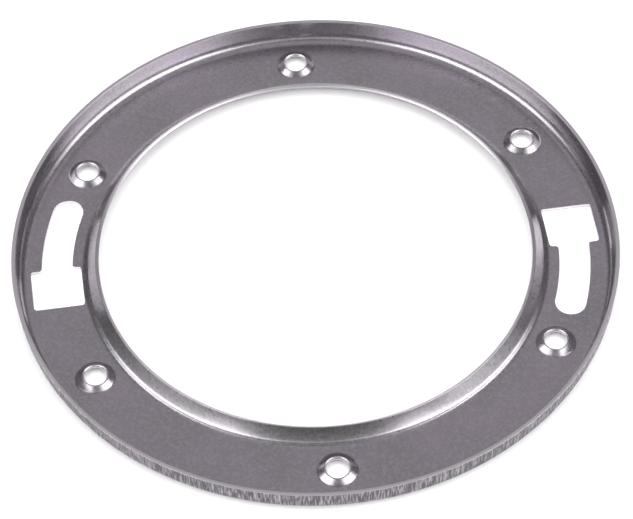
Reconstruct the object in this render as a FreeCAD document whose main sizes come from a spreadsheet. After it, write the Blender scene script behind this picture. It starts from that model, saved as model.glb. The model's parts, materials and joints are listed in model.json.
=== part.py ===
import FreeCAD, Part
import math
import os
import re
import Sketcher

# Closet flange ring: one stainless-steel sheet, pressed and pierced.
# It lies on its flat face with both turned edges upward, as it comes off the press.
# The origin is the ring's centre on the bottom plane, +Z is up, and the closet bolts
# of the two keyholes sit near the X axis. All sizes are in millimetres and degrees.

sizes = {
    "sheetThickness": 1.2,
    # circle that the floor screws and the closet bolts share
    "boltCircle": 152.4,
    # outer rim, turned up, and its reach outward from the bolt circle
    "rimReach": 12.7,
    "rimHeight": 8.2,
    "rimAngle": 86.0,
    "rimBend": 3.0,
    # lip, turned up round the pipe opening, and its reach inward from the bolt circle
    "lipReach": 12.7,
    "lipHeight": 5.2,
    "lipAngle": 55.0,
    "lipBend": 3.0,
    # dimpled floor-screw holes: a cone, its sheet drawn thinner by the press, rises to a narrow
    # flat round the hole. The hole's wall is upright, and its last part is torn square to the cone.
    "screwCount": 6,
    "screwFirstAngle": 30.0,
    "screwHoleDiameter": 6.4,
    "dimpleTop": 7.5,
    "dimpleHeight": 1.6,
    "dimpleAngle": 39.0,
    "dimpleBlend": 1.6,
    "coneThinning": 0.84,
    "tornDepth": 0.5,
    # keyholes: a nearly square entry for the bolt's head, on the bolt circle, then a curved
    # slot for its shank. The length is along the ring's radius and the width across it.
    "keyholeCount": 2,
    "entryFromScrew": 26.6,
    "entryLength": 14.9,
    "entryWidth": 14.2,
    "entryCorner": 1.0,
    "slotSideCorner": 1.2,
    "slotWidth": 9.0,
    "slotSweep": 21.7,
    "outerShoulder": 0.8,
    "innerShoulder": 0.95,
    # most of the inner ledge, from entry to slot, that its two roundings may take up
    "ledgeShare": 0.74,
    # how far a cutting shape runs on past the metal
    "cutRunOut": 1.0,
}

# Worked out by the sheet: the two roundings shrink to fit their ledge, and the hole's wall starts
# where the cone's underside reaches the hole's radius
derived = {
    "ledge": "=(entryLength - slotWidth) / 2",
    "roundingShare": "=min(1; ledgeShare * ledge / (slotSideCorner + innerShoulder))",
    "coneTop": "=sheetThickness + dimpleHeight + (dimpleTop - screwHoleDiameter) / 2 * tan(dimpleAngle)",
    "wallStart": "=coneTop - sheetThickness * coneThinning / cos(dimpleAngle)",
}

doc = FreeCAD.newDocument("closet_flange")
sheet = doc.addObject("Spreadsheet::Sheet", "Sizes")
for row, (alias, value) in enumerate({**sizes, **derived}.items(), start=1):
    sheet.set(f"A{row}", alias)
    sheet.set(f"B{row}", str(value))
    sheet.setAlias(f"B{row}", alias)
doc.recompute()
for alias in derived:
    sizes[alias] = float(sheet.get(alias))

body = doc.addObject("PartDesign::Body", "FlangeRing")
body.Label = "flange_ring"
origin_parts = {part.Role: part for part in body.Origin.OriginFeatures}

# Places inside a sketch that constraints refer to: its own axes and origin, and a curve's points
x_axis, y_axis = -1, -2
sketch_origin = (-1, 1)
start, end, centre = 1, 2, 3


class Outline:
    """A closed outline in a sketch: each piece starts where the last one ends."""

    def __init__(self, name, plane, turn_axis=None, turn=0, turn_formula=None):
        self.sketch = body.newObject("Sketcher::SketchObject", name)
        self.sketch.AttachmentSupport = [(origin_parts[plane], "")]
        self.sketch.MapMode = "FlatFace"
        if turn_axis:
            rotation = FreeCAD.Rotation(turn_axis, turn)
            self.sketch.AttachmentOffset = FreeCAD.Placement(FreeCAD.Vector(), rotation)
            self.bind(".AttachmentOffset.Rotation.Angle", turn_formula, "deg")
        self.pieces = []
        self.corners = set()

    def bind(self, target, formula, unit):
        in_cells = re.sub(r"[A-Za-z]+", lambda alias: f"Sizes.{alias[0]}", formula)
        self.sketch.setExpression(target, f"({in_cells}) * 1 {unit}")

    def line(self, first, last, construction=False):
        segment = Part.LineSegment(FreeCAD.Vector(*first), FreeCAD.Vector(*last))
        index = self.sketch.addGeometry(segment, construction)
        if not construction:
            self.pieces.append((index, start, end))
        return index

    def arc(self, middle, radius, first, last):
        """Arc from the first angle to the last, either way round."""
        circle = Part.Circle(FreeCAD.Vector(*middle), FreeCAD.Vector(0, 0, 1), radius)
        curve = Part.ArcOfCircle(circle, math.radians(min(first, last)), math.radians(max(first, last)))
        index = self.sketch.addGeometry(curve, False)
        ends = (start, end) if first < last else (end, start)
        self.pieces.append((index, *ends))
        return index

    def corner(self):
        """The last piece meets the next one at a corner, not smoothly."""
        self.corners.add(len(self.pieces) - 1)

    def close(self):
        for place, (index, _, last) in enumerate(self.pieces):
            following, first, _ = self.pieces[(place + 1) % len(self.pieces)]
            self.tie("Coincident" if place in self.corners else "Tangent", index, last, following, first)

    def tie(self, kind, *where):
        return self.sketch.addConstraint(Sketcher.Constraint(kind, *where))

    def size(self, kind, where, value, formula):
        unit = "deg" if kind == "Angle" else "mm"
        amount = math.radians(value) if kind == "Angle" else value
        number = self.sketch.addConstraint(Sketcher.Constraint(kind, *where, amount))
        self.bind(f"Constraints[{number}]", formula, unit)

    def place(self, kind, point, value, formula):
        """Distance of a point from the sketch's origin, along X or Y."""
        if value < 0:
            self.size(kind, (*point, *sketch_origin), -value, f"-({formula})")
        else:
            self.size(kind, (*sketch_origin, *point), value, formula)

    def finish(self):
        doc.recompute()
        if not self.sketch.FullyConstrained:
            raise ValueError(f"{self.sketch.Label} is not fully constrained")
        self.sketch.Visibility = False
        return self.sketch


def turned_edge(reach, height, angle, bend, thickness, side):
    """Points of an edge turned up from the flat, up to its outside corner.

    side is 1 for the outer rim, which leans outward, and -1 for the lip, which leans inward.
    """
    lean = math.radians(angle)
    outer_bend = bend + thickness
    run = outer_bend * math.sin(lean) + (height - outer_bend * (1 - math.cos(lean))) / math.tan(lean)
    foot = reach - side * run

    def along(radius):
        return foot + side * radius * math.sin(lean), outer_bend - radius * math.cos(lean)

    return {
        "foot": foot,
        "bend": (foot, outer_bend),
        "outside": along(outer_bend),
        "inside": along(bend),
        "outsideTop": (reach, height),
        "levelTop": (reach - side * thickness / math.sin(lean), height),
        "squareTop": (reach - side * thickness * math.sin(lean), height + thickness * math.cos(lean)),
    }


def ring_profile():
    thickness = sizes["sheetThickness"]
    rim_reach = sizes["boltCircle"] / 2 + sizes["rimReach"]
    lip_reach = sizes["boltCircle"] / 2 - sizes["lipReach"]
    rim = turned_edge(rim_reach, sizes["rimHeight"], sizes["rimAngle"], sizes["rimBend"], thickness, 1)
    lip = turned_edge(lip_reach, sizes["lipHeight"], sizes["lipAngle"], sizes["lipBend"], thickness, -1)
    down, rim_end, lip_end = -90, sizes["rimAngle"] - 90, -90 - sizes["lipAngle"]

    profile = Outline("RingProfile", "XZ_Plane")
    underside = profile.line((lip["foot"], 0), (rim["foot"], 0))
    rim_bend_out = profile.arc(rim["bend"], sizes["rimBend"] + thickness, down, rim_end)
    rim_outside = profile.line(rim["outside"], rim["outsideTop"])
    profile.corner()
    rim_edge = profile.line(rim["outsideTop"], rim["levelTop"])
    profile.corner()
    rim_inside = profile.line(rim["levelTop"], rim["inside"])
    rim_bend_in = profile.arc(rim["bend"], sizes["rimBend"], rim_end, down)
    upper_side = profile.line((rim["foot"], thickness), (lip["foot"], thickness))
    lip_bend_in = profile.arc(lip["bend"], sizes["lipBend"], down, lip_end)
    lip_inside = profile.line(lip["inside"], lip["squareTop"])
    profile.corner()
    lip_edge = profile.line(lip["squareTop"], lip["outsideTop"])
    profile.corner()
    lip_outside = profile.line(lip["outsideTop"], lip["outside"])
    lip_bend_out = profile.arc(lip["bend"], sizes["lipBend"] + thickness, lip_end, down)
    profile.close()

    profile.tie("Horizontal", underside)
    profile.tie("PointOnObject", underside, start, x_axis)
    profile.tie("Horizontal", upper_side)
    profile.place("DistanceY", (upper_side, start), thickness, "sheetThickness")
    profile.tie("Horizontal", rim_edge)
    profile.tie("Perpendicular", lip_outside, lip_edge)
    for bend_out, bend_in, outside, inside in (
            (rim_bend_out, rim_bend_in, rim_outside, rim_inside),
            (lip_bend_out, lip_bend_in, lip_outside, lip_inside)):
        profile.tie("Coincident", bend_out, centre, bend_in, centre)
        profile.tie("Parallel", outside, inside)
    profile.size("Radius", (rim_bend_in,), sizes["rimBend"], "rimBend")
    profile.size("Angle", (rim_outside,), sizes["rimAngle"], "rimAngle")
    profile.place("DistanceX", (rim_outside, end), rim_reach, "boltCircle / 2 + rimReach")
    profile.place("DistanceY", (rim_outside, end), sizes["rimHeight"], "rimHeight")
    profile.size("Radius", (lip_bend_in,), sizes["lipBend"], "lipBend")
    profile.size("Angle", (lip_inside,), 180 - sizes["lipAngle"], "180 - lipAngle")
    profile.place("DistanceX", (lip_outside, start), lip_reach, "boltCircle / 2 - lipReach")
    profile.place("DistanceY", (lip_outside, start), sizes["lipHeight"], "lipHeight")
    return profile.finish()


def dimple_axis(name, top):
    """A section turned to the first screw hole, with that hole's own axis drawn in it."""
    section = Outline(name, "XZ_Plane", FreeCAD.Vector(0, 1, 0),
                      sizes["screwFirstAngle"], "screwFirstAngle")
    middle = sizes["boltCircle"] / 2
    axis = section.line((middle, 0), (middle, top), construction=True)
    section.tie("Vertical", axis)
    section.tie("PointOnObject", axis, start, x_axis)
    section.place("DistanceX", (axis, start), middle, "boltCircle / 2")
    return section, axis, middle


def dimple_foot(radius, rise, bend):
    """How far from the hole's axis the blend leaves the sheet, for a cone that rises to a radius."""
    slope = math.radians(sizes["dimpleAngle"])
    cone_rise = rise - bend * (1 - math.cos(slope))
    return radius + cone_rise / math.tan(slope) + bend * math.sin(slope)


def blend_and_cone(section, axis, middle, level, bend, diameter, top):
    """Rise from the sheet's surface: a blend, then the cone up to a diameter and a height."""
    radius = sizes[diameter] / 2
    slope = math.radians(sizes["dimpleAngle"])
    foot = middle + dimple_foot(radius, top - level, bend)
    cone_start = (foot - bend * math.sin(slope), level + bend * (1 - math.cos(slope)))
    blend = section.arc((foot, level + bend), bend, -90, -90 - sizes["dimpleAngle"])
    cone = section.line(cone_start, (middle + radius, top))
    section.corner()
    section.size("Angle", (cone,), 180 - sizes["dimpleAngle"], "180 - dimpleAngle")
    section.size("DistanceX", (axis, end, cone, end), radius, f"{diameter} / 2")
    return blend, cone


def close_on_axis(section, axis, lid, core):
    section.close()
    section.tie("Horizontal", lid)
    section.tie("Coincident", core, start, axis, end)
    section.tie("Vertical", core)


def boss_section():
    """Metal raised round the hole; its root reaches half way down into the sheet."""
    level = sizes["sheetThickness"]
    root, top, bend = level / 2, level + sizes["dimpleHeight"], sizes["dimpleBlend"]
    radius = sizes["dimpleTop"] / 2
    section, axis, middle = dimple_axis("BossSection", top)
    foot = middle + dimple_foot(radius, sizes["dimpleHeight"], bend)
    bottom = section.line((middle, root), (foot, root))
    section.corner()
    side = section.line((foot, root), (foot, level))
    section.corner()
    blend, _ = blend_and_cone(section, axis, middle, level, bend, "dimpleTop", top)
    lid = section.line((middle + radius, top), (middle, top))
    section.corner()
    core = section.line((middle, top), (middle, root))
    section.corner()
    close_on_axis(section, axis, lid, core)
    section.tie("Horizontal", bottom)
    section.tie("Vertical", side)
    section.tie("Vertical", blend, centre, blend, end)
    section.size("Radius", (blend,), bend, "dimpleBlend")
    section.place("DistanceY", (side, start), root, "sheetThickness / 2")
    section.place("DistanceY", (side, end), level, "sheetThickness")
    section.place("DistanceY", (lid, start), top, "sheetThickness + dimpleHeight")
    return section.finish()


def sink_section():
    """Countersink that the dimple leaves underneath, and the pierced hole above it."""
    bend = sizes["dimpleBlend"] + sizes["sheetThickness"]
    radius = sizes["screwHoleDiameter"] / 2
    wall, top = sizes["wallStart"], sizes["coneTop"] + sizes["cutRunOut"]
    tear = sizes["sheetThickness"] + sizes["dimpleHeight"] - sizes["tornDepth"]
    section, axis, middle = dimple_axis("SinkSection", top)
    hole = middle + radius
    wide = hole + (top - tear) * math.tan(math.radians(sizes["dimpleAngle"]))
    bottom = section.line((middle, 0), (middle + dimple_foot(radius, wall, bend), 0))
    blend, cone = blend_and_cone(section, axis, middle, 0, bend, "screwHoleDiameter", wall)
    land = section.line((hole, wall), (hole, tear))
    section.corner()
    torn = section.line((hole, tear), (wide, top))
    section.corner()
    lid = section.line((wide, top), (middle, top))
    section.corner()
    core = section.line((middle, top), (middle, 0))
    section.corner()
    close_on_axis(section, axis, lid, core)
    section.tie("PointOnObject", bottom, start, x_axis)
    section.tie("Horizontal", bottom)
    section.tie("Vertical", land)
    section.tie("Perpendicular", cone, torn)
    section.size("Radius", (blend,), bend, "dimpleBlend + sheetThickness")
    section.place("DistanceY", (land, start), wall, "wallStart")
    section.place("DistanceY", (land, end), tear, "sheetThickness + dimpleHeight - tornDepth")
    section.place("DistanceY", (torn, end), top, "coneTop + cutRunOut")
    return section.finish()


def keyhole_outline():
    """Entry square to its own radius, then the slot round the bolt circle with a round end."""
    middle, half_slot = sizes["boltCircle"] / 2, sizes["slotWidth"] / 2
    reach_in, reach_out = middle - sizes["entryLength"] / 2, middle + sizes["entryLength"] / 2
    half = sizes["entryWidth"] / 2
    corner, out_shoulder = sizes["entryCorner"], sizes["outerShoulder"]
    slot_corner = sizes["slotSideCorner"] * sizes["roundingShare"]
    in_shoulder = sizes["innerShoulder"] * sizes["roundingShare"]
    slot_out, slot_in = middle + half_slot, middle - half_slot
    sweep = sizes["slotSweep"]
    slot_end = (middle * math.cos(math.radians(sweep)), -middle * math.sin(math.radians(sweep)))

    def shoulder_centre(reach, radius):
        drop = half + radius
        return math.sqrt(reach ** 2 - drop ** 2), -drop

    out_centre = shoulder_centre(slot_out + out_shoulder, out_shoulder)
    in_centre = shoulder_centre(slot_in - in_shoulder, in_shoulder)
    out_turn = math.degrees(math.atan2(out_centre[1], out_centre[0]))
    in_turn = math.degrees(math.atan2(in_centre[1], in_centre[0]))

    keyhole = Outline("KeyholeOutline", "XY_Plane", FreeCAD.Vector(0, 0, 1),
                      sizes["screwFirstAngle"] - sizes["entryFromScrew"],
                      "screwFirstAngle - entryFromScrew")
    far_side = keyhole.line((reach_in + corner, half), (reach_out - corner, half))
    corners = [keyhole.arc((reach_out - corner, half - corner), corner, 90, 0)]
    out_side = keyhole.line((reach_out, half - corner), (reach_out, corner - half))
    corners.append(keyhole.arc((reach_out - corner, corner - half), corner, 0, -90))
    out_ledge = keyhole.line((reach_out - corner, -half), (out_centre[0], -half))
    out_round = keyhole.arc(out_centre, out_shoulder, 90, 180 + out_turn)
    slot_outside = keyhole.arc((0, 0), slot_out, out_turn, -sweep)
    slot_round = keyhole.arc(slot_end, half_slot, -sweep, -180 - sweep)
    slot_inside = keyhole.arc((0, 0), slot_in, -sweep, in_turn)
    in_round = keyhole.arc(in_centre, in_shoulder, in_turn, 90)
    in_ledge = keyhole.line((in_centre[0], -half), (reach_in + slot_corner, -half))
    slot_side_corner = keyhole.arc((reach_in + slot_corner, slot_corner - half), slot_corner, -90, -180)
    in_side = keyhole.line((reach_in, slot_corner - half), (reach_in, half - corner))
    corners.append(keyhole.arc((reach_in + corner, half - corner), corner, 180, 90))
    keyhole.close()

    for edge in (far_side, out_ledge, in_ledge):
        keyhole.tie("Horizontal", edge)
    for edge in (out_side, in_side):
        keyhole.tie("Vertical", edge)
    for curve in (slot_outside, slot_inside):
        keyhole.tie("Coincident", curve, centre, *sketch_origin)
    for curve in corners:
        keyhole.size("Radius", (curve,), corner, "entryCorner")
    keyhole.size("Radius", (slot_side_corner,), slot_corner, "slotSideCorner * roundingShare")
    keyhole.size("Radius", (out_round,), out_shoulder, "outerShoulder")
    keyhole.size("Radius", (in_round,), in_shoulder, "innerShoulder * roundingShare")
    keyhole.size("Radius", (slot_outside,), slot_out, "(boltCircle + slotWidth) / 2")
    keyhole.size("Radius", (slot_inside,), slot_in, "(boltCircle - slotWidth) / 2")
    keyhole.place("DistanceX", (in_side, start), reach_in, "(boltCircle - entryLength) / 2")
    keyhole.place("DistanceX", (out_side, start), reach_out, "(boltCircle + entryLength) / 2")
    keyhole.place("DistanceY", (far_side, start), half, "entryWidth / 2")
    for ledge in (out_ledge, in_ledge):
        keyhole.place("DistanceY", (ledge, start), -half, "-entryWidth / 2")
    spoke = keyhole.line((0, 0), slot_end, construction=True)
    keyhole.tie("Coincident", spoke, start, *sketch_origin)
    keyhole.tie("Coincident", spoke, end, slot_round, centre)
    keyhole.size("Angle", (spoke,), -sweep, "-slotSweep")
    return keyhole.finish()


def feature(kind, name, sketch, **settings):
    made = body.newObject(f"PartDesign::{kind}", name)
    made.Profile = sketch
    for setting, value in settings.items():
        setattr(made, setting, value)
    doc.recompute()
    return made


def pattern(name, originals, count):
    made = body.newObject("PartDesign::PolarPattern", name)
    made.Originals = originals
    made.Axis = (origin_parts["Z_Axis"], [""])
    made.Angle = 360
    made.setExpression("Occurrences", f"Sizes.{count}")
    body.Tip = made
    doc.recompute()
    return made


ring = ring_profile()
pressed = feature("Revolution", "PressedRing", ring, ReferenceAxis=(ring, ["V_Axis"]), Angle=360)
boss = boss_section()
raised = feature("Revolution", "Boss", boss, ReferenceAxis=(boss, ["Axis0"]), Angle=360)
sink = sink_section()
pierced = feature("Groove", "Sink", sink, ReferenceAxis=(sink, ["Axis0"]), Angle=360)
dimples = pattern("Dimples", [raised, pierced], "screwCount")
outline = keyhole_outline()
opened = feature("Pocket", "Keyhole", outline, Type="ThroughAll", Reversed=True)
keyholes = pattern("Keyholes", [opened], "keyholeCount")

for item in doc.Objects:
    if "Invalid" in item.State or "Error" in item.State:
        raise ValueError(f"{item.Label} failed: {item.State}")
if body.Shape.isNull() or not body.Shape.isValid() or len(body.Shape.Solids) != 1:
    raise ValueError(f"{body.Label} is not one valid solid")
if not pressed.Shape.Volume < raised.Shape.Volume > pierced.Shape.Volume > dimples.Shape.Volume:
    raise ValueError("a screw hole did not cut or raise its metal")
one_dimple, all_dimples = (made.Shape.Volume - pressed.Shape.Volume for made in (pierced, dimples))
if not math.isclose(one_dimple * sizes["screwCount"], all_dimples, rel_tol=1e-4):
    raise ValueError("the dimples are not all alike")
if not dimples.Shape.Volume > opened.Shape.Volume > keyholes.Shape.Volume:
    raise ValueError("a keyhole did not cut through the metal")

os.makedirs("parts", exist_ok=True)
body.Shape.exportStep(f"parts/{body.Label}.step")
box = body.Shape.optimalBoundingBox(True, False)
print(f"{body.Label}: {box.XLength:.2f} x {box.YLength:.2f} x {box.ZLength:.2f} mm, "
      f"{body.Shape.Volume:.0f} mm3")
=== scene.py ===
import json
import math

import bpy
import numpy as np
from mathutils import Matrix, Vector
from mathutils.geometry import delaunay_2d_cdt


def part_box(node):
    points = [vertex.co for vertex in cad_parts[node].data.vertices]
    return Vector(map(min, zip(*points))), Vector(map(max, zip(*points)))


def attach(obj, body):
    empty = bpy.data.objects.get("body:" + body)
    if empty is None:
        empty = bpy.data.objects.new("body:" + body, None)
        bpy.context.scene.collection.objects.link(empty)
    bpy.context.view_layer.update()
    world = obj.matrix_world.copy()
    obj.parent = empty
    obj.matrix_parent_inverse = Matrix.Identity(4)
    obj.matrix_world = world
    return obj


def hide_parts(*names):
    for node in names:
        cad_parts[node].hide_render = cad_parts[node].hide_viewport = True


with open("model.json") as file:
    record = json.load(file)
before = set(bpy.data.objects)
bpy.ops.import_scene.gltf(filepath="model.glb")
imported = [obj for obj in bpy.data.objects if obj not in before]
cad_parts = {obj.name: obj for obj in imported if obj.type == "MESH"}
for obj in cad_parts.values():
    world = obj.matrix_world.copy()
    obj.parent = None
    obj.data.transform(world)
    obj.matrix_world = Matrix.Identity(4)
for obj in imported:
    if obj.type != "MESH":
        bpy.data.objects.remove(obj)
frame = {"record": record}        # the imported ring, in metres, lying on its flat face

record = frame["record"]
mounts = {mount["name"]: mount for mount in record["mounts"]}
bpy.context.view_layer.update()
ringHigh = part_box("flange_ring")[1]
mm = 0.001


class Value:
    # a number coming out of a node; sums and products on it add Math nodes

    def __init__(self, nodes, socket):
        self.nodes = nodes
        self.socket = socket

    def __add__(self, other):
        return self.nodes.maths("ADD", self, other)

    def __radd__(self, other):
        return self.nodes.maths("ADD", other, self)

    def __sub__(self, other):
        return self.nodes.maths("SUBTRACT", self, other)

    def __rsub__(self, other):
        return self.nodes.maths("SUBTRACT", other, self)

    def __mul__(self, other):
        return self.nodes.maths("MULTIPLY", self, other)

    def __rmul__(self, other):
        return self.nodes.maths("MULTIPLY", other, self)

    def __truediv__(self, other):
        return self.nodes.maths("DIVIDE", self, other)

    def __rtruediv__(self, other):
        return self.nodes.maths("DIVIDE", other, self)


class Nodes:
    # adds nodes to one tree, shader or geometry

    def __init__(self, tree):
        self.tree = tree

    def add(self, kind, settings=None, inputs=None, output=0):
        node = self.tree.nodes.new(kind)
        for name, value in (settings or {}).items():
            setattr(node, name, value)
        for name, value in (inputs or {}).items():
            if isinstance(value, Value):
                self.tree.links.new(value.socket, node.inputs[name])
            else:
                node.inputs[name].default_value = value
        return None if output is None else Value(self, node.outputs[output])

    def others(self, value, *names):
        # more outputs of the node that a value comes from
        return [Value(self, value.socket.node.outputs[name]) for name in names]

    def maths(self, operation, *values):
        return self.add("ShaderNodeMath", {"operation": operation}, dict(enumerate(values)))

    def clamp(self, value, low, high):
        return self.maths("MINIMUM", self.maths("MAXIMUM", value, low), high)

    def mixColour(self, factor, first, second):
        # in a Mix node's list of sockets the colours are 6 and 7, and the colour result is 2
        return self.add("ShaderNodeMix", {"data_type": "RGBA"}, {0: factor, 6: first, 7: second}, output=2)


screws = mounts["floor_screws"]
pitch = screws["dims"]["pcd_mm"] / 2 * mm

ringSizes = {
    "thickness": 1.2 * mm,
    "rimReach": ringHigh.x - pitch,    # outward from the bolt circle
    "rimHeight": ringHigh.z,
    "rimAngle": math.radians(86),
    "rimBend": 3.0 * mm,               # bends are measured on the upper side
    "lipReach": 12.7 * mm,             # inward from the bolt circle
    "lipHeight": 5.2 * mm,
    "lipAngle": math.radians(55),
    "lipBend": 3.0 * mm,
    "screwCount": screws["dims"]["count"],
    "screwFirst": math.radians(30),
    "screwRadius": screws["dims"]["hole_r_mm"] * mm,
    "dimpleTop": 3.75 * mm,            # radius of the narrow flat round each hole
    "dimpleHeight": 1.6 * mm,
    "dimpleAngle": math.radians(39),
    "dimpleBlend": 1.6 * mm,
    "coneThinning": 0.84,              # the press draws the dimple's sheet thinner
    "tornDepth": 0.5 * mm,             # the hole's wall flares out over this depth
    "keyholeCount": 2,
    "entryAngle": math.radians(3.4),
    "entryLength": 14.9 * mm,
    "entryWidth": 14.2 * mm,
    "entryCorner": 1.0 * mm,
    "slotSideCorner": 1.2 * mm,
    "slotWidth": 9.0 * mm,
    "slotSweep": math.radians(21.7),
    "outerShoulder": 0.8 * mm,
    "innerShoulder": 0.95 * mm,
    "edgeRound": 0.16 * mm,            # sheared edges, worn a little round
}

meshSizes = {
    "aroundRing": 480,                 # points on each circle of the ring
    "aroundHole": 72,
    "bendSteps": 12,
    "wallSteps": 4,
    "dimpleSteps": 15,
    "arrisSteps": 3,                   # in each of a cut edge's two rounded corners
    "edgeBand": 0.15 * mm,             # narrow band of skin kept along every cut edge
    "holePatch": 6.68 * mm,            # radius of the round patch that holds a dimple
    "keyholeStep": 0.45 * mm,
    "fewestArcSteps": 6,               # in a keyhole's smallest roundings
    "smallestGap": 0.1,                # of a step; a keyhole's narrower gaps get no points of their own
    "webInRimBend": 1,                 # steps of each bend that belong to the web
    "webInLipBend": 5,
    "besideFoot": 0.2 * mm,            # the flat's last loose ring lies this far from a bend
    "clearOfCut": 0.12 * mm,           # the web's loose points keep this far from its loops
    "wholeHull": 0,                    # the triangulation's output type that drops no triangle
    "sameSite": 1e-6,                  # in mm; points closer than this are one to the triangulation
}


def turnedEdge(reach, height, angle, bend, side, level):
    # where a turned edge leaves the flat and how far its sheet runs on, side 1 outward, -1 inward;
    # a level edge is trimmed flat on top, the other kind stays square to its own wall
    half = ringSizes["thickness"] / 2
    outerBend = bend + 2 * half
    straight = (height - outerBend * (1 - math.cos(angle))) / math.sin(angle)
    foot = reach - side * (outerBend * math.sin(angle) + straight * math.cos(angle))
    trim = 1 / math.tan(angle) if level else 0
    arc = (bend + half) * angle
    return {"foot": foot, "bend": bend + half, "angle": angle, "arc": arc, "trim": trim,
            "straight": straight - half * trim, "side": side}


rim = turnedEdge(pitch + ringSizes["rimReach"], ringSizes["rimHeight"],
                 ringSizes["rimAngle"], ringSizes["rimBend"], 1, True)
lip = turnedEdge(pitch - ringSizes["lipReach"], ringSizes["lipHeight"],
                 ringSizes["lipAngle"], ringSizes["lipBend"], -1, False)


def dimpleRises():
    # height of each skin's cone above the flat skin that it rises from, at its own mouth
    size = ringSizes
    slope, angle = math.tan(size["dimpleAngle"]), size["dimpleAngle"]
    coneTop = size["thickness"] + size["dimpleHeight"] + (size["dimpleTop"] - size["screwRadius"]) * slope
    return size["dimpleHeight"], coneTop - size["thickness"] * size["coneThinning"] / math.cos(angle)


def dimpleFeet():
    # how far from a screw's axis each skin of the sheet starts to rise, upper then lower
    size = ringSizes
    radii = size["dimpleTop"], size["screwRadius"]
    blends = size["dimpleBlend"], size["dimpleBlend"] + size["thickness"]
    return [radius + rise / math.tan(size["dimpleAngle"]) + blend * math.tan(size["dimpleAngle"] / 2)
            for radius, rise, blend in zip(radii, dimpleRises(), blends)]


upperFoot, lowerFoot = dimpleFeet()


def circle(radius, count, centre=(0, 0)):
    turn = np.arange(count) * 2 * math.pi / count
    return np.column_stack([centre[0] + radius * np.cos(turn), centre[1] + radius * np.sin(turn)])


def keyhole(inset, turned):
    # outline of a keyhole pushed out into the metal by inset, its entry turned from +X;
    # how many points it has doesn't depend on inset, so two outlines can be joined
    size = ringSizes
    halfWidth, halfLength, halfSlot = size["entryWidth"] / 2, size["entryLength"] / 2, size["slotWidth"] / 2
    corner, slotCorner, sweep = size["entryCorner"], size["slotSideCorner"], size["slotSweep"]
    quarter = math.pi / 2

    def shoulder(reach, radius):
        # centre of the rounding between the entry's side and the slot, and its angle round the ring
        x = math.sqrt(reach ** 2 - (halfWidth + radius) ** 2)
        return (x, -halfWidth - radius), math.atan2(-halfWidth - radius, x)

    outside, outTurn = shoulder(pitch + halfSlot + size["outerShoulder"], size["outerShoulder"])
    inside, inTurn = shoulder(pitch - halfSlot - size["innerShoulder"], size["innerShoulder"])
    slotEnd = pitch * math.cos(sweep), -pitch * math.sin(sweep)
    near, far = pitch - halfLength, pitch + halfLength
    # centre, radius, first angle, last angle, and 1 where the metal is outside the arc
    arcs = [
        ((far - corner, halfWidth - corner), corner, quarter, 0, 1),
        ((far - corner, corner - halfWidth), corner, 0, -quarter, 1),
        (outside, size["outerShoulder"], quarter, math.pi + outTurn, -1),
        ((0, 0), pitch + halfSlot, outTurn, -sweep, 1),
        (slotEnd, halfSlot, -sweep, -sweep - math.pi, 1),
        ((0, 0), pitch - halfSlot, -sweep, inTurn, -1),
        (inside, size["innerShoulder"], inTurn, quarter, -1),
        ((near + slotCorner, slotCorner - halfWidth), slotCorner, -quarter, -math.pi, 1),
        ((near + corner, halfWidth - corner), corner, math.pi, quarter, 1),
    ]

    def arcPoints(arc, push):
        (x, y), radius, first, last, side = arc
        steps = round(radius * abs(last - first) / meshSizes["keyholeStep"])
        steps = max(meshSizes["fewestArcSteps"], steps)
        turn = np.linspace(first, last, steps + 1)
        run = radius + side * push
        return np.column_stack([x + run * np.cos(turn), y + run * np.sin(turn)])

    points = []
    for arc, following in zip(arcs, arcs[1:] + arcs[:1]):
        gap = np.linalg.norm(arcPoints(following, 0)[0] - arcPoints(arc, 0)[-1])
        steps = math.ceil(gap / meshSizes["keyholeStep"] - meshSizes["smallestGap"])
        pushed, beyond = arcPoints(arc, inset), arcPoints(following, inset)[0]
        points.extend(pushed[:-1])
        for step in range(steps):
            points.append(pushed[-1] + (beyond - pushed[-1]) * step / steps)
    cosine, sine = math.cos(turned), math.sin(turned)
    return np.array(points)[::-1] @ np.array([[cosine, sine], [-sine, cosine]])


def insideOutline(points, outline):
    # True for each point inside the outline, by counting the sides to the point's right
    ahead = np.roll(outline, -1, axis=0)
    x, y = points[:, :1], points[:, 1:]
    crossing = (outline[:, 1] > y) != (ahead[:, 1] > y)
    rise = np.where(ahead[:, 1] == outline[:, 1], 1, ahead[:, 1] - outline[:, 1])
    meets = outline[:, 0] + (y - outline[:, 1]) / rise * (ahead[:, 0] - outline[:, 0])
    return (crossing & (x < meets)).sum(axis=1) % 2 == 1


def clearOf(points, outline):
    # the points that lie outside an outline and not close to it
    nearest = np.hypot(points[:, :1] - outline[:, 0], points[:, 1:] - outline[:, 1]).min(axis=1)
    return points[~insideOutline(points, outline) & (nearest > meshSizes["clearOfCut"])]


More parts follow.
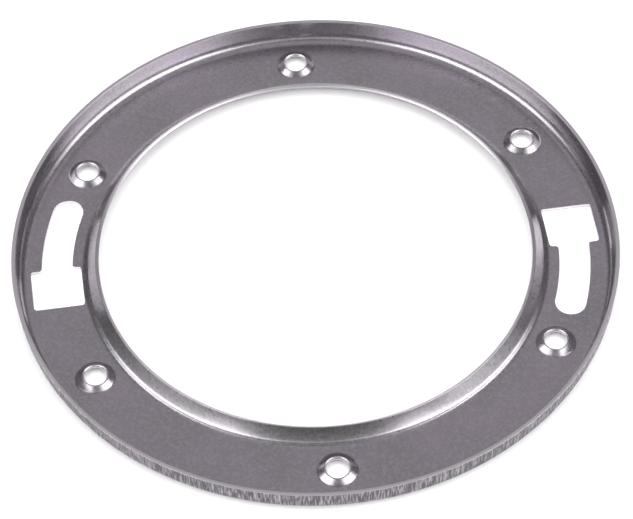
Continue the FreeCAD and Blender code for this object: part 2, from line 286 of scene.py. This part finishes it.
class Blank:
    # points and faces of the flat sheet, pierced but not yet pressed

    def __init__(self):
        self.points = []
        self.sheared = []    # 1 on the cut walls, 0 on the skins
        self.faces = []

    def addPoints(self, outline, height, sheared=0.0):
        first = len(self.points)
        self.points.extend((x, y, height) for x, y in outline)
        self.sheared.extend([sheared] * len(outline))
        return range(first, len(self.points))

    def bridge(self, loops, side):
        # side is 1 where the loops grow outward along the upper skin, -1 where they shrink
        for first, second in zip(loops, loops[1:]):
            for here in range(len(first)):
                after = (here + 1) % len(first)
                face = first[here], second[here], second[after], first[after]
                self.faces.append(face[::side])

    def addCutEdge(self, outline, insets, side):
        # both skins beside one cut edge, from the web out to the edge, and the rounded wall between
        thickness, curve, steps = ringSizes["thickness"], ringSizes["edgeRound"], meshSizes["arrisSteps"]
        upper = [(inset, thickness, 0.0) for inset in insets]
        for step in range(steps + 1):
            turn = math.pi / 2 * step / steps
            back, drop = curve * (1 - math.sin(turn)), curve * (1 - math.cos(turn))
            upper.append((back, thickness - drop, step / steps))
        lower = [(inset, thickness - height, sheared) for inset, height, sheared in reversed(upper)]
        walk = upper + [(0, thickness / 2, 1.0)] + lower
        loops = [self.addPoints(outline(inset, height), height, sheared) for inset, height, sheared in walk]
        self.bridge(loops, side)
        return outline(insets[0], 0), loops[0], loops[-1]

    def addWeb(self, edges, looseRings):
        # the flat between the cut edges' own skins, triangulated once and used for both skins
        outlines = [outline for outline, _, _ in edges]
        loose = np.vstack(looseRings)
        sites = np.vstack(outlines + [loose])
        links = []
        first = 0
        for outline in outlines:
            count = len(outline)
            links.extend((first + place, first + (place + 1) % count) for place in range(count))
            first += count
        found = delaunay_2d_cdt([Vector(site) for site in sites / mm], links, [],
                                meshSizes["wholeHull"], meshSizes["sameSite"])
        if len(found[0]) != len(sites):
            raise ValueError("the web's outlines cross or touch")
        triangles = np.array(found[2])
        middles = sites[triangles].mean(axis=1)
        triangles = triangles[insideOutline(middles, outlines[0])]
        for hole in outlines[1:]:
            middles = sites[triangles].mean(axis=1)
            triangles = triangles[~insideOutline(middles, hole)]
        upper = [point for _, loop, _ in edges for point in loop]
        lower = [point for _, _, loop in edges for point in loop]
        upper.extend(self.addPoints(loose, ringSizes["thickness"]))
        lower.extend(self.addPoints(loose, 0))
        for triangle in triangles.tolist():
            self.faces.append([upper[point] for point in triangle])
            self.faces.append([lower[point] for point in reversed(triangle)])


def keyholeTurns():
    count = ringSizes["keyholeCount"]
    return [ringSizes["entryAngle"] + place * 2 * math.pi / count for place in range(count)]


def screwPlaces():
    count = ringSizes["screwCount"]
    turns = [ringSizes["screwFirst"] + place * 2 * math.pi / count for place in range(count)]
    return [(pitch * math.cos(turn), pitch * math.sin(turn)) for turn in turns]


def turnedInsets(edge, webSteps):
    # places of the loops up a turned edge, measured back from the sheet's end
    ends = edge["straight"] + edge["arc"]
    step = edge["arc"] / meshSizes["bendSteps"]
    band = ringSizes["edgeRound"] + meshSizes["edgeBand"]
    bend = [ends - place * step for place in range(webSteps, meshSizes["bendSteps"] + 1)]
    return bend + list(np.linspace(edge["straight"], band, meshSizes["wallSteps"] + 1)[1:])


def looseReaches(edge, webSteps):
    # the web's own rings beside a foot and in the first steps of its bend
    step = edge["side"] * edge["arc"] / meshSizes["bendSteps"]
    beside = edge["foot"] - edge["side"] * meshSizes["besideFoot"]
    return [beside] + [edge["foot"] + step * place for place in range(webSteps)]


def makeBlank():
    blank = Blank()
    around, half = meshSizes["aroundRing"], ringSizes["thickness"] / 2
    band = ringSizes["edgeRound"] + meshSizes["edgeBand"]

    rimInsets = turnedInsets(rim, meshSizes["webInRimBend"])
    rimEnd = rim["foot"] + rim["arc"] + rim["straight"]

    def rimOutline(inset, height):
        trimmed = rim["trim"] * (height - half) * (1 - inset / rimInsets[0])
        return circle(rimEnd - inset - trimmed, around)

    lipInsets = turnedInsets(lip, meshSizes["webInLipBend"])
    lipEnd = lip["foot"] - lip["arc"] - lip["straight"]

    def lipOutline(inset, height):
        return circle(lipEnd + inset, around)

    edges = [blank.addCutEdge(rimOutline, rimInsets, 1), blank.addCutEdge(lipOutline, lipInsets, -1)]

    hole, torn = ringSizes["screwRadius"], ringSizes["tornDepth"]
    mouthInsets = [meshSizes["holePatch"] - hole]
    mouthInsets.extend(np.linspace(lowerFoot - hole, band, meshSizes["dimpleSteps"]))
    mouthHeight = ringSizes["thickness"] + ringSizes["dimpleHeight"] - dimpleRises()[1]
    land = 1 - torn / mouthHeight

    cuts = []
    for place in screwPlaces():
        def mouthOutline(inset, height, centre=place):
            share = max(0, height / ringSizes["thickness"] - land) / (1 - land)
            flare = torn * math.tan(ringSizes["dimpleAngle"]) * share * (1 - inset / mouthInsets[0])
            return circle(hole + flare + inset, meshSizes["aroundHole"], centre)
        edges.append(blank.addCutEdge(mouthOutline, mouthInsets, -1))
        cuts.append(edges[-1][0])

    for turn in keyholeTurns():
        def keyholeEdge(inset, height, turned=turn):
            return keyhole(inset, turned)
        edges.append(blank.addCutEdge(keyholeEdge, [band], -1))
        cuts.append(edges[-1][0])

    reaches = looseReaches(rim, meshSizes["webInRimBend"]) + looseReaches(lip, meshSizes["webInLipBend"])
    rings = [circle(reach, around) for reach in reaches]
    for outline in cuts:
        rings = [clearOf(ring, outline) for ring in rings]
    blank.addWeb(edges, rings)

    mesh = bpy.data.meshes.new("blank")
    mesh.from_pydata(blank.points, [], blank.faces)
    mesh.attributes.new("sheared", "FLOAT", "POINT").data.foreach_set("value", blank.sheared)
    mesh.update()
    return mesh


pressInputs = {
    "Sheet thickness": ringSizes["thickness"],
    "Bolt circle": pitch,
    "Rim foot": rim["foot"],
    "Rim bend": rim["bend"],
    "Rim angle": rim["angle"],
    "Lip foot": lip["foot"],
    "Lip bend": lip["bend"],
    "Lip angle": lip["angle"],
    "Screw count": ringSizes["screwCount"],
    "First screw": ringSizes["screwFirst"],
    "Dimple angle": ringSizes["dimpleAngle"],
    "Dimple height": ringSizes["dimpleHeight"],
    "Upper foot": upperFoot,
    "Upper blend": ringSizes["dimpleBlend"],
    "Lower foot": lowerFoot,
    "Lower blend": ringSizes["dimpleBlend"] + ringSizes["thickness"],
}


def pressTree():
    # bends the flat blank up at the rim and lip and raises a dimple at each screw hole; on the blank,
    # distance from the ring's axis is measured along the middle of the sheet
    tree = bpy.data.node_groups.new("pressTheRing", "GeometryNodeTree")
    tree.is_modifier = True
    face = tree.interface
    face.new_socket("Geometry", in_out="OUTPUT", socket_type="NodeSocketGeometry")
    face.new_socket("Geometry", in_out="INPUT", socket_type="NodeSocketGeometry")
    for name in pressInputs:
        face.new_socket(name, in_out="INPUT", socket_type="NodeSocketFloat")
    face.new_socket("Finish", in_out="INPUT", socket_type="NodeSocketMaterial")
    nodes = Nodes(tree)
    flat = nodes.add("NodeGroupInput", output="Geometry")
    given = dict(zip(pressInputs, nodes.others(flat, *pressInputs)))
    finish, = nodes.others(flat, "Finish")
    x = nodes.add("ShaderNodeSeparateXYZ", inputs={0: nodes.add("GeometryNodeInputPosition")})
    y, height = nodes.others(x, "Y", "Z")
    reach = nodes.maths("SQRT", x * x + y * y)
    half = given["Sheet thickness"] * 0.5
    offset = height - half

    def turnUp(past, bend, angle):
        # run and rise of a point that lies this far past the foot of a bend
        lean = nodes.clamp(past / bend, 0, angle)
        beyond = nodes.maths("MAXIMUM", past - bend * angle, 0)
        radius = bend - offset
        run = radius * nodes.maths("SINE", lean) + beyond * nodes.maths("COSINE", angle)
        return run, radius * (1 - nodes.maths("COSINE", lean)) + beyond * nodes.maths("SINE", angle)

    rimRun, rimRise = turnUp(reach - given["Rim foot"], given["Rim bend"], given["Rim angle"])
    lipRun, lipRise = turnUp(given["Lip foot"] - reach, given["Lip bend"], given["Lip angle"])
    flatReach = nodes.clamp(reach, given["Lip foot"], given["Rim foot"])
    pressedReach = flatReach + rimRun - lipRun

    spacing = 2 * math.pi / given["Screw count"]
    turn = nodes.maths("ARCTAN2", y, x) - given["First screw"]
    turn = nodes.maths("WRAP", turn, spacing * 0.5, spacing * -0.5)
    along = reach * nodes.maths("COSINE", turn) - given["Bolt circle"]
    across = reach * nodes.maths("SINE", turn)
    fromScrew = nodes.maths("SQRT", along * along + across * across)
    slope = given["Dimple angle"]

    def dimpleRise(foot, blend):
        inward = nodes.maths("MAXIMUM", foot - fromScrew, 0)
        blendRun = blend * nodes.maths("SINE", slope)
        inBlend = nodes.maths("MINIMUM", inward, blendRun)
        onCone = nodes.maths("MAXIMUM", inward - blendRun, 0)
        rounding = blend - nodes.maths("SQRT", blend * blend - inBlend * inBlend)
        return rounding + onCone * nodes.maths("TANGENT", slope)

    upper = dimpleRise(given["Upper foot"], given["Upper blend"])
    upper = nodes.maths("MINIMUM", upper, given["Dimple height"])
    lower = dimpleRise(given["Lower foot"], given["Lower blend"])
    share = height / given["Sheet thickness"]
    pressedHeight = height + rimRise + lipRise + lower + (upper - lower) * share

    place = nodes.add("ShaderNodeCombineXYZ", inputs={0: x / reach * pressedReach,
                                                      1: y / reach * pressedReach, 2: pressedHeight})
    pressed = nodes.add("GeometryNodeSetPosition", inputs={"Geometry": flat, "Position": place})
    smooth = nodes.add("GeometryNodeSetShadeSmooth", inputs={"Geometry": pressed})
    real = nodes.add("GeometryNodeRealizeInstances", inputs={"Geometry": smooth})
    finished = nodes.add("GeometryNodeSetMaterial", inputs={"Geometry": real, "Material": finish})
    nodes.add("NodeGroupOutput", inputs={"Geometry": finished}, output=None)
    return tree


def pressRing(finish):
    ring = bpy.data.objects.new("closet_ring", makeBlank())
    bpy.context.scene.collection.objects.link(ring)
    tree = pressTree()
    press = ring.modifiers.new("press", "NODES")
    press.node_group = tree
    for socket in tree.interface.items_tree:
        if socket.in_out == "INPUT" and socket.name in pressInputs:
            press[socket.identifier] = float(pressInputs[socket.name])
        if socket.name == "Finish":
            press[socket.identifier] = finish
    bpy.context.view_layer.update()
    seen = ring.evaluated_get(bpy.context.evaluated_depsgraph_get())
    pressed = bpy.data.meshes.new_from_object(seen)
    ring.modifiers.clear()
    blank = ring.data
    ring.data = pressed
    bpy.data.meshes.remove(blank)
    pressed.name = "closet_ring"
    return ring


steel = {
    "mauve": (0.47, 0.435, 0.48, 1),       # the sheet drifts between these two tones
    "grey": (0.42, 0.405, 0.425, 1),
    "speck": (0.56, 0.53, 0.57, 1),        # the grain's lightest spots
    "bare": (0.72, 0.68, 0.72, 1),         # freshly sheared metal on the cut edges
    "skirtShadeAndMarks": (0.10, 0.092, 0.103, 1),       # painted shade: the rim's outer face darkened to stand in for the dim floor it mirrors, striped by the die's striations
    "toneScale": 42.0,                     # noise scales count per metre
    "toneDetail": 4.0,
    "toneStart": 0.4,                      # the noise's value where mauve begins to show
    "toneContrast": 5.0,
    "grainScale": 1100.0,
    "grainDetail": 2.0,
    "grainHeight": 0.0012 * mm,
    "speckStart": 0.45,
    "speckContrast": 3.0,
    "roughness": 0.24,
    "grainRoughness": 0.10,                # the most that the rolling grain adds
    "shearedRoughness": 0.10,
    "skirtRoughness": 0.16,
    "streakStart": 6.0 * mm,               # from the bolt circle, where the streaks set in
    "streakFade": 3.0 * mm,                # and how far on they reach their full height
    "streakCount": 9.0,                    # how often they change along a radius's worth of the ring
    "streakWidth": 0.45 * mm,
    "streakHeight": 0.004 * mm,
    "streakDetail": 2.0,
    "skirtDepth": 0.95 * mm,               # the outer face is what lies this close to the rim's reach
    "skirtFade": 0.2 * mm,
    "skirtCount": 190.0,                   # its upright striations, counted as the streaks are
    "skirtWidth": 4.0 * mm,                # how far up the face a striation stays the same
    "skirtHeight": 0.02 * mm,
    "skirtShadeStart": 0.24,
    "skirtShadeContrast": 3.0,
    "leastSkirtShade": 0.2,
    "easeStart": 1.7 * mm,                 # from the lip's foot, where its bend eases into its wall
    "easeRun": 3.0 * mm,                   # the easing is spread over this much of the reach
    "easeCurve": 76.0,                     # slope gained per metre of reach
}


def makeSteel():
    # satin stainless: two drifting tones, streaks along the bends, a skirt darkened with painted shade over
    # its die striations, bright sheared edges
    material = bpy.data.materials.new("satinStainless")
    material.use_nodes = True
    nodes = Nodes(material.node_tree)
    shader = material.node_tree.nodes["Principled BSDF"]
    place = nodes.add("ShaderNodeTexCoord", output="Object")
    x = nodes.add("ShaderNodeSeparateXYZ", inputs={0: place})
    y, z = nodes.others(x, "Y", "Z")
    reach = nodes.maths("SQRT", x * x + y * y)
    sheared = nodes.add("ShaderNodeAttribute", {"attribute_name": "sheared"}, output="Fac")

    def noise(where, scale, detail):
        return nodes.add("ShaderNodeTexNoise", inputs={"Vector": where, "Scale": scale, "Detail": detail})

    def streaks(around, across):
        # built on a unit arrow from the axis, which has no seam where an angle would wrap
        where = nodes.add("ShaderNodeCombineXYZ",
                          inputs={0: x / reach * around, 1: y / reach * around, 2: across})
        return noise(where, 1.0, steel["streakDetail"])

    def above(value, start, contrast, least=0):
        return nodes.clamp((value - start) * contrast, least, 1)

    tone = noise(place, steel["toneScale"], steel["toneDetail"])
    grain = noise(place, steel["grainScale"], steel["grainDetail"])
    rolled = streaks(steel["streakCount"], (reach + z) / steel["streakWidth"])
    drawn = streaks(steel["skirtCount"], z / steel["skirtWidth"])
    fromPitch = nodes.maths("ABSOLUTE", reach - pitch)
    nearBends = nodes.clamp((fromPitch - steel["streakStart"]) / steel["streakFade"], 0, 1)
    skirtStart = ringSizes["rimReach"] + pitch - steel["skirtDepth"]
    skirt = nodes.clamp((reach - skirtStart) / steel["skirtFade"], 0, 1)

    mauve = above(tone, steel["toneStart"], steel["toneContrast"])
    speck = above(grain, steel["speckStart"], steel["speckContrast"])
    # painted shade: the outer face's colour is darkened where it mirrors the dim floor; the striations in
    # this mask are real die marks
    skirtShadeAndMarks = skirt * above(drawn, steel["skirtShadeStart"], steel["skirtShadeContrast"], steel["leastSkirtShade"])
    colour = nodes.mixColour(mauve, steel["grey"], steel["mauve"])
    colour = nodes.mixColour(speck, colour, steel["speck"])
    colour = nodes.mixColour(skirtShadeAndMarks, colour, steel["skirtShadeAndMarks"])
    colour = nodes.mixColour(sheared, colour, steel["bare"])
    roughness = (steel["roughness"] + grain * steel["grainRoughness"]
                 + sheared * steel["shearedRoughness"] + skirt * steel["skirtRoughness"])
    pastStart = lip["foot"] - steel["easeStart"] - reach
    left = steel["easeRun"] - nodes.clamp(pastStart, 0, steel["easeRun"])
    relief = (grain * steel["grainHeight"] + rolled * nearBends * steel["streakHeight"]
              + drawn * skirt * steel["skirtHeight"] + left * left * (steel["easeCurve"] / 2))
    bump = nodes.add("ShaderNodeBump", inputs={"Strength": 1.0, "Distance": 1.0, "Height": relief})

    shader.inputs["Metallic"].default_value = 1
    for name, value in (("Base Color", colour), ("Roughness", roughness), ("Normal", bump)):
        material.node_tree.links.new(value.socket, shader.inputs[name])
    return material


look = {
    "distance": 808.7 * mm,
    "elevation": math.radians(51.64),
    "azimuth": math.radians(-3.11),
    "roll": math.radians(-1.97),
    "lens": 156.25,
    "aimAcross": 0.24 * mm,                # from the ring's axis
    "aimAway": -1.17 * mm,
    "nearest": 0.05,                       # what is nearer or further than these isn't drawn
    "furthest": 50,
}


def makeCamera():
    camera = bpy.data.cameras.new("camera")
    camera.lens = look["lens"]
    camera.clip_start = look["nearest"]
    camera.clip_end = look["furthest"]
    holder = bpy.data.objects.new("camera", camera)
    bpy.context.scene.collection.objects.link(holder)
    turn = Matrix.Rotation(look["azimuth"], 4, "Z")
    aim = turn @ Vector((look["aimAcross"], look["aimAway"], ringSizes["thickness"]))
    back = turn @ Vector((0, -math.cos(look["elevation"]), math.sin(look["elevation"])))
    facing = back.to_track_quat("Z", "Y").to_matrix().to_4x4()
    roll = Matrix.Rotation(look["roll"], 4, "Z")
    holder.matrix_world = Matrix.Translation(aim + back * look["distance"]) @ facing @ roll
    bpy.context.scene.camera = holder


studio = {
    "world": 0.11,
    "floorSide": 12.0,
    "paper": (0.92, 0.92, 0.92, 1),
    "paperRoughness": 0.95,
    "paperShine": 0.1,
}

# each softbox hangs round the ring and up from the floor by these angles, and faces the ring
softboxes = {
    "leftBox": {"around": -153, "up": 35, "size": (1.30, 0.60), "distance": 1.2, "radiance": 3.5},
    "leftLow": {"around": -163, "up": 8, "size": (0.85, 0.33), "distance": 1.2, "radiance": 0.75},
    "rightBox": {"around": -26, "up": 35, "size": (1.30, 0.60), "distance": 1.2, "radiance": 3.7},
    "rightLow": {"around": -16, "up": 8, "size": (0.85, 0.33), "distance": 1.2, "radiance": 2.0},
    "farFill": {"around": 90, "up": 26, "size": (1.70, 0.55), "distance": 1.3, "radiance": 0.4},
    "frontFill": {"around": -90, "up": 37, "size": (1.00, 0.45), "distance": 1.2, "radiance": 0.5},
    "overhead": {"around": 90, "up": 76, "size": (1.60, 2.10), "distance": 1.35, "radiance": 0.335,
                 "colour": (1.0, 0.93, 1.02)},
    "floorFill": {"around": 90, "up": 90, "size": (3.0, 3.0), "distance": 1.8, "radiance": 1.9},
}


def hangSoftbox(name, box):
    light = bpy.data.lights.new(name, "AREA")
    light.shape = "RECTANGLE"
    light.size, light.size_y = box["size"]
    light.energy = box["radiance"] * light.size * light.size_y * math.pi
    light.color = box.get("colour", (1, 1, 1))
    holder = bpy.data.objects.new(name, light)
    bpy.context.scene.collection.objects.link(holder)
    around = math.radians(box["around"]) + look["azimuth"]
    up = math.radians(box["up"])
    away = Vector((math.cos(around) * math.cos(up), math.sin(around) * math.cos(up), math.sin(up)))
    facing = away.to_track_quat("Z", "Y").to_matrix().to_4x4()
    holder.matrix_world = Matrix.Translation(away * box["distance"]) @ facing
    return holder


def makeStudio():
    world = bpy.data.worlds.new("studio")
    world.use_nodes = True
    backdrop = world.node_tree.nodes["Background"]
    backdrop.inputs["Color"].default_value = (1, 1, 1, 1)
    backdrop.inputs["Strength"].default_value = studio["world"]
    bpy.context.scene.world = world
    holders = {name: hangSoftbox(name, box) for name, box in softboxes.items()}
    holders["floorFill"].visible_glossy = False    # whitens the paper but isn't mirrored in the steel

    half = studio["floorSide"] / 2
    corners = [(-half, -half, 0), (half, -half, 0), (half, half, 0), (-half, half, 0)]
    sheet = bpy.data.meshes.new("floor")
    sheet.from_pydata(corners, [], [(0, 1, 2, 3)])
    floor = bpy.data.objects.new("floor", sheet)
    bpy.context.scene.collection.objects.link(floor)
    paper = bpy.data.materials.new("palePaper")
    paper.use_nodes = True
    shader = paper.node_tree.nodes["Principled BSDF"]
    shader.inputs["Base Color"].default_value = studio["paper"]
    shader.inputs["Roughness"].default_value = studio["paperRoughness"]
    shader.inputs["Specular IOR Level"].default_value = studio["paperShine"]
    sheet.materials.append(paper)


print("pressing the ring")
ring = pressRing(makeSteel())
print("triangles", sum(len(face.vertices) - 2 for face in ring.data.polygons))
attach(ring, "root")
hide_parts("flange_ring")

print("hanging the lights and setting the camera")
makeStudio()
makeCamera()
bpy.context.scene.view_settings.view_transform = "Standard"
